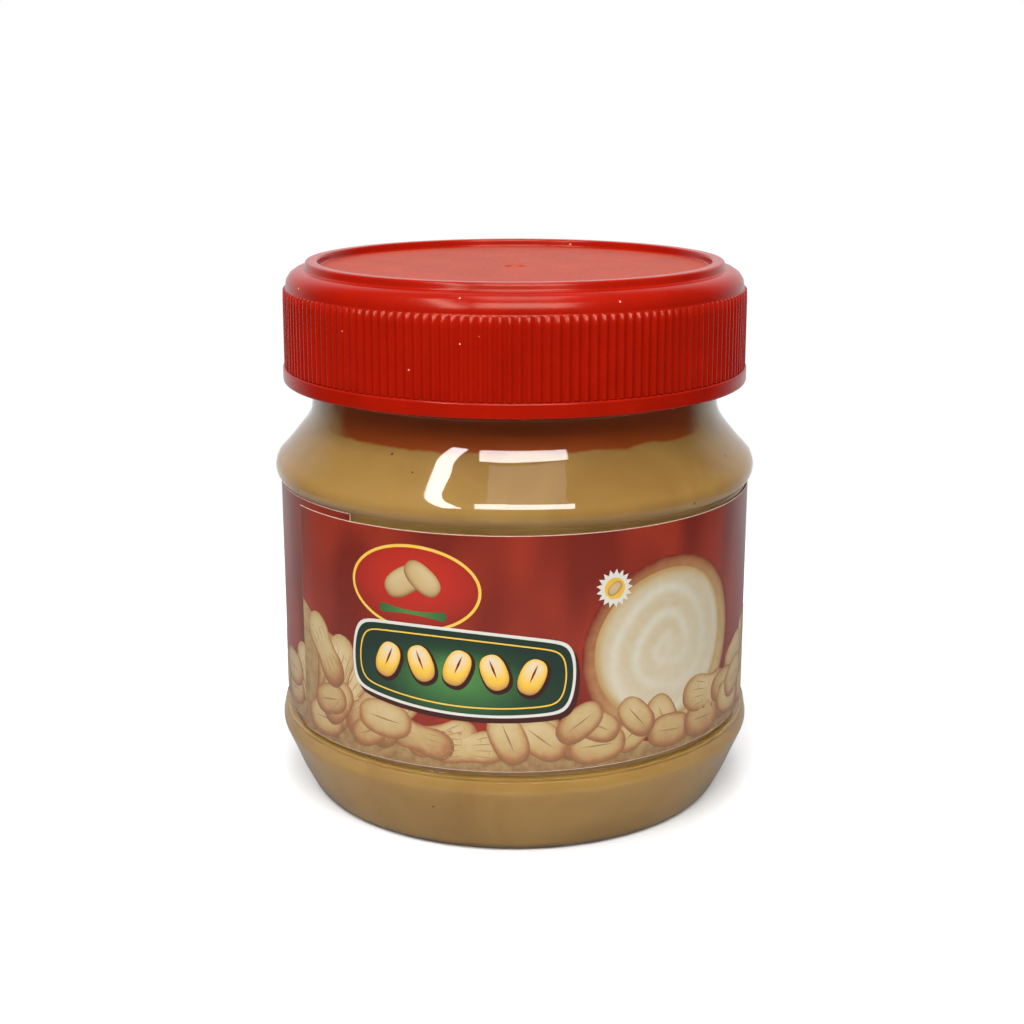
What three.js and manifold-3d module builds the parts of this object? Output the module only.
// A small jar of peanut butter: a clear jar, its filling, a ribbed screw cap and a wrap label.
// Millimetres, +Z up. The origin is the middle of the foot, and the front of the label faces -Y.
import * as THREE from 'three';
import { mergeVertices } from 'three/addons/utils/BufferGeometryUtils.js';
import Module from 'manifold-3d';

// Driving dimensions of the jar
const WALL = 0.9;
const FOOT_INNER_RADIUS = 25.0;
const HEEL_CORNER_RADIUS = 29.9;
const PUSH_UP_RADIUS = 12.0;
const PUSH_UP_HEIGHT = 2.4;
const PANEL_RADIUS = 33.25;
const PANEL_BOTTOM = 12.3;
const PANEL_TOP = 45.71;
const NECK_RADIUS = 28.77;
const NECK_CORNER_HEIGHT = 54.89;
const FINISH_RADIUS = 29.7;
const FINISH_BOTTOM = 59.4;
const RIM_HEIGHT = 73.3;

// Driving dimensions of the filling
const FILL_HEIGHT = 62.0;
const FILL_GAP = 0.3;

// Driving dimensions of the screw cap
const CAP_BOTTOM = 59.6;
const CAP_TOP = 76.2;
const CAP_PANEL_HEIGHT = 75.1;
const CAP_PLATE = 1.4;
const CAP_BORE_RADIUS = 31.2;
const CAP_SHOULDER_RADIUS = 32.1;
const CAP_BAND_RADIUS = 32.75;
const CAP_BAND_TOP = 61.85;
const RING_INNER_RADIUS = 27.6;
const RING_OUTER_RADIUS = 29.2;
const RIB_COUNT = 168;
const RIB_CREST_RADIUS = 32.65;
const RIB_VALLEY_RADIUS = 32.15;
const RIB_TOP = 72.5;

// Driving dimensions of the screw thread
const THREAD_PITCH = 4.2;
const THREAD_TURNS = 1.25;
const THREAD_START_HEIGHT = 64.6;
const THREAD_HEIGHT = 1.0;
const THREAD_BASE = 1.6;
const THREAD_TIP = 0.6;

// Driving dimensions of the label, a strip of paper that goes once round and laps over its own end
const LABEL_BOTTOM = 12.8;
const LABEL_HEIGHT = 32.0;
const LABEL_THICKNESS = 0.2;
const LABEL_INNER_RADIUS = 33.45;
const LAP_START = THREE.MathUtils.degToRad(-39.8);
const LAP_ANGLE = THREE.MathUtils.degToRad(19.8);
const LAP_EASE = THREE.MathUtils.degToRad(8);
const LAP_LIFT = 0.3;
const LABEL_SKEW = 1.0;

// Fineness of the round shapes
const JAR_SEGMENTS = 44;
const CAP_SEGMENTS = RIB_COUNT / 4;
const LABEL_SEGMENTS = 80;
const THREAD_STEPS = 25;
const OUTER_ARC_STEP = THREE.MathUtils.degToRad(30);
const INNER_ARC_STEP = THREE.MathUtils.degToRad(90);

const wasm = await Module();
wasm.setup();

const corner = (r, z, fillet = 0) => ({ r, z, fillet });
const toVector = ({ r, z }) => new THREE.Vector2(r, z);

// Moves an open outline of corners to its left by a distance, and keeps its fillets concentric.
function inset(corners, distance) {
  const points = corners.map(toVector);
  const sides = points.slice(1).map((point, i) => {
    const along = point.clone().sub(points[i]).normalize();
    return { along, left: new THREE.Vector2(-along.y, along.x) };
  });
  return corners.map(({ fillet }, i) => {
    const before = sides[Math.max(i - 1, 0)];
    const after = sides[Math.min(i, sides.length - 1)];
    const bisector = before.left.clone().add(after.left);
    const shift = bisector.multiplyScalar((2 * distance) / bisector.lengthSq());
    const turn = Math.sign(before.along.cross(after.along));
    const { x, y } = points[i].clone().add(shift);
    return corner(x, y, fillet ? Math.max(fillet - turn * distance, 0) : 0);
  });
}

// Turns corners into outline points, with each fillet as an arc of even steps.
function outline(corners, arcStep = OUTER_ARC_STEP) {
  const points = corners.map(toVector);
  const result = [];
  corners.forEach(({ fillet }, i) => {
    const here = points[i];
    if (!fillet || i === 0 || i === corners.length - 1) {
      result.push(here);
      return;
    }
    const back = points[i - 1].clone().sub(here).normalize();
    const on = points[i + 1].clone().sub(here).normalize();
    const half = Math.acos(THREE.MathUtils.clamp(back.dot(on), -1, 1)) / 2;
    const middle = back.clone().add(on).normalize().multiplyScalar(fillet / Math.sin(half));
    const centre = here.clone().add(middle);
    const start = here.clone().addScaledVector(back, fillet / Math.tan(half)).sub(centre);
    const end = here.clone().addScaledVector(on, fillet / Math.tan(half)).sub(centre);
    const sweep = Math.atan2(start.cross(end), start.dot(end));
    const steps = Math.max(1, Math.round(Math.abs(sweep) / arcStep));
    for (let k = 0; k <= steps; k += 1) {
      const turned = start.clone().rotateAround(new THREE.Vector2(), (sweep * k) / steps);
      result.push(turned.add(centre));
    }
  });
  return result;
}

// Spins an outline that starts and ends on the axis into a closed body about +Z.
function spin(points, segments) {
  const geometry = new THREE.LatheGeometry(points, segments);
  geometry.rotateX(Math.PI / 2);
  return geometry;
}

function toSolid(geometry) {
  const bare = geometry.clone();
  bare.deleteAttribute('normal');
  bare.deleteAttribute('uv');
  const merged = mergeVertices(bare);
  const vertProperties = Float32Array.from(merged.attributes.position.array);
  const triVerts = Uint32Array.from(merged.index.array);
  return new wasm.Manifold(new wasm.Mesh({ numProp: 3, vertProperties, triVerts }));
}

function toGeometry(solid) {
  const { vertProperties, triVerts } = solid.getMesh();
  const geometry = new THREE.BufferGeometry();
  geometry.setAttribute('position', new THREE.BufferAttribute(vertProperties, 3));
  geometry.setIndex(new THREE.BufferAttribute(triVerts, 1));
  geometry.computeVertexNormals();
  return geometry;
}

// The middle line of a thread: a rising circle.
class Helix extends THREE.Curve {
  constructor(radius, height) {
    super();
    this.radius = radius;
    this.height = height;
  }

  getPoint(t, target = new THREE.Vector3()) {
    const angle = 2 * Math.PI * THREAD_TURNS * t;
    const z = this.height + THREAD_PITCH * THREAD_TURNS * t;
    return target.set(this.radius * Math.cos(angle), this.radius * Math.sin(angle), z);
  }
}

// A thread ridge that grows outward or inward from a cylinder, rooted a little inside its wall.
function threadRidge(radius, height, outward) {
  const root = 0.3;
  const side = outward ? -1 : 1;
  const section = new THREE.Shape([
    new THREE.Vector2(-side * root, -THREAD_BASE / 2),
    new THREE.Vector2(side * THREAD_HEIGHT, -THREAD_TIP / 2),
    new THREE.Vector2(side * THREAD_HEIGHT, THREAD_TIP / 2),
    new THREE.Vector2(-side * root, THREAD_BASE / 2),
  ]);
  const extrudePath = new Helix(radius, height);
  return new THREE.ExtrudeGeometry(section, { steps: THREAD_STEPS, extrudePath });
}

// The outside of the jar from the middle of its base up to the start of the screw finish.
function jarBody() {
  return [
    corner(0, PUSH_UP_HEIGHT),
    corner(PUSH_UP_RADIUS, PUSH_UP_HEIGHT),
    corner(FOOT_INNER_RADIUS, 0),
    corner(HEEL_CORNER_RADIUS, 0, 2),
    corner(31.9, 3.9),
    corner(34.5, 9.9, 1.9),
    corner(PANEL_RADIUS, PANEL_BOTTOM),
    corner(PANEL_RADIUS, PANEL_TOP),
    corner(35.18, 47.64, 2.3),
    corner(32.16, 50.7),
    corner(NECK_RADIUS, NECK_CORNER_HEIGHT, 4),
  ];
}

function makeJar() {
  const body = jarBody();
  const outside = [
    ...body,
    corner(NECK_RADIUS, FINISH_BOTTOM - 0.8),
    corner(FINISH_RADIUS, FINISH_BOTTOM),
    corner(FINISH_RADIUS, RIM_HEIGHT - 0.4),
    corner(FINISH_RADIUS - 0.4, RIM_HEIGHT),
  ];
  const inside = inset([...body, corner(NECK_RADIUS, RIM_HEIGHT)], WALL).reverse();
  inside[inside.length - 1].r = 0;
  const profile = [...outline(outside), ...outline(inside, INNER_ARC_STEP)];
  const shell = toSolid(spin(profile, JAR_SEGMENTS));
  const thread = toSolid(threadRidge(FINISH_RADIUS, THREAD_START_HEIGHT, true));
  return toGeometry(shell.add(thread));
}

// The filling follows the inside of the jar up to a level top in the neck.
function makeFilling() {
  const sides = inset([...jarBody(), corner(NECK_RADIUS, FILL_HEIGHT)], WALL + FILL_GAP);
  sides[0].r = 0;
  sides[sides.length - 1].z = FILL_HEIGHT;
  return spin(outline([...sides, corner(0, FILL_HEIGHT)], INNER_ARC_STEP), JAR_SEGMENTS);
}

// A ring with one pointed rib at each step, as high as the gripped part of the cap.
function ribRing() {
  const points = [];
  for (let i = 0; i < RIB_COUNT; i += 1) {
    const valley = (i / RIB_COUNT) * 2 * Math.PI;
    const crest = ((i + 0.5) / RIB_COUNT) * 2 * Math.PI;
    points.push(new THREE.Vector2(Math.cos(valley), Math.sin(valley)).multiplyScalar(RIB_VALLEY_RADIUS));
    points.push(new THREE.Vector2(Math.cos(crest), Math.sin(crest)).multiplyScalar(RIB_CREST_RADIUS));
  }
  const shape = new THREE.Shape(points);
  const bore = new THREE.Path().absarc(0, 0, CAP_BORE_RADIUS + 0.4, 0, 2 * Math.PI);
  shape.holes.push(bore);
  const depth = RIB_TOP - CAP_BAND_TOP + 0.4;
  const options = { depth, bevelEnabled: false, curveSegments: CAP_SEGMENTS / 2 };
  const geometry = new THREE.ExtrudeGeometry(shape, options);
  geometry.translate(0, 0, CAP_BAND_TOP - 0.4);
  return geometry;
}

function makeCap() {
  const underside = CAP_PANEL_HEIGHT - CAP_PLATE;
  const corners = [
    corner(0, underside),
    corner(CAP_BORE_RADIUS, underside),
    corner(CAP_BORE_RADIUS, CAP_BOTTOM),
    corner(CAP_BAND_RADIUS - 0.3, CAP_BOTTOM),
    corner(CAP_BAND_RADIUS, CAP_BOTTOM + 0.3),
    corner(CAP_BAND_RADIUS, CAP_BAND_TOP - 0.2),
    corner(CAP_BAND_RADIUS - 0.2, CAP_BAND_TOP),
    corner(CAP_SHOULDER_RADIUS, CAP_BAND_TOP),
    corner(CAP_SHOULDER_RADIUS, CAP_PANEL_HEIGHT, 2.3),
    corner(RING_OUTER_RADIUS + 0.2, CAP_PANEL_HEIGHT),
    corner(RING_OUTER_RADIUS, CAP_TOP - 0.3),
    corner(RING_OUTER_RADIUS - 0.3, CAP_TOP),
    corner(RING_INNER_RADIUS + 0.3, CAP_TOP),
    corner(RING_INNER_RADIUS, CAP_TOP - 0.3),
    corner(RING_INNER_RADIUS - 0.2, CAP_PANEL_HEIGHT),
    corner(0, CAP_PANEL_HEIGHT),
  ];
  const shell = toSolid(spin(outline(corners), CAP_SEGMENTS));
  const ribs = toSolid(ribRing());
  const thread = toSolid(threadRidge(CAP_BORE_RADIUS, THREAD_START_HEIGHT - THREAD_PITCH / 2, false));
  return toGeometry(shell.add(ribs).add(thread));
}

// Bends a flat strip round the jar. One end is tucked in, and the other laps over it, a little lower.
function makeLabel() {
  const whole = 2 * Math.PI + LAP_ANGLE;
  const strip = new THREE.BoxGeometry(whole, LABEL_HEIGHT, LABEL_THICKNESS, LABEL_SEGMENTS, 1, 1);
  const position = strip.attributes.position;
  for (let i = 0; i < position.count; i += 1) {
    const turned = position.getX(i) + whole / 2;
    const overlapped = turned - (2 * Math.PI - LAP_EASE);
    const lift = LAP_LIFT * THREE.MathUtils.smoothstep(overlapped, 0, LAP_EASE);
    const radius = LABEL_INNER_RADIUS + LABEL_THICKNESS / 2 - position.getZ(i) + lift;
    const azimuth = LAP_START - turned;
    const rise = LABEL_SKEW * (1 - turned / whole);
    const z = LABEL_BOTTOM + LABEL_HEIGHT / 2 + position.getY(i) + rise;
    position.setXYZ(i, radius * Math.sin(azimuth), -radius * Math.cos(azimuth), z);
  }
  strip.computeVertexNormals();
  return strip;
}

function piece(name, geometry, color, roughness) {
  const material = new THREE.MeshStandardMaterial({ color, roughness, metalness: 0 });
  const mesh = new THREE.Mesh(geometry, material);
  mesh.name = name;
  return mesh;
}

const model = new THREE.Group();
model.add(piece('jar', makeJar(), 0xd9cdb8, 0.08));
model.add(piece('peanut_butter', makeFilling(), 0xb08c4e, 0.5));
model.add(piece('lid', makeCap(), 0xc42a1e, 0.35));
model.add(piece('label', makeLabel(), 0xb03a30, 0.45));

export default model;
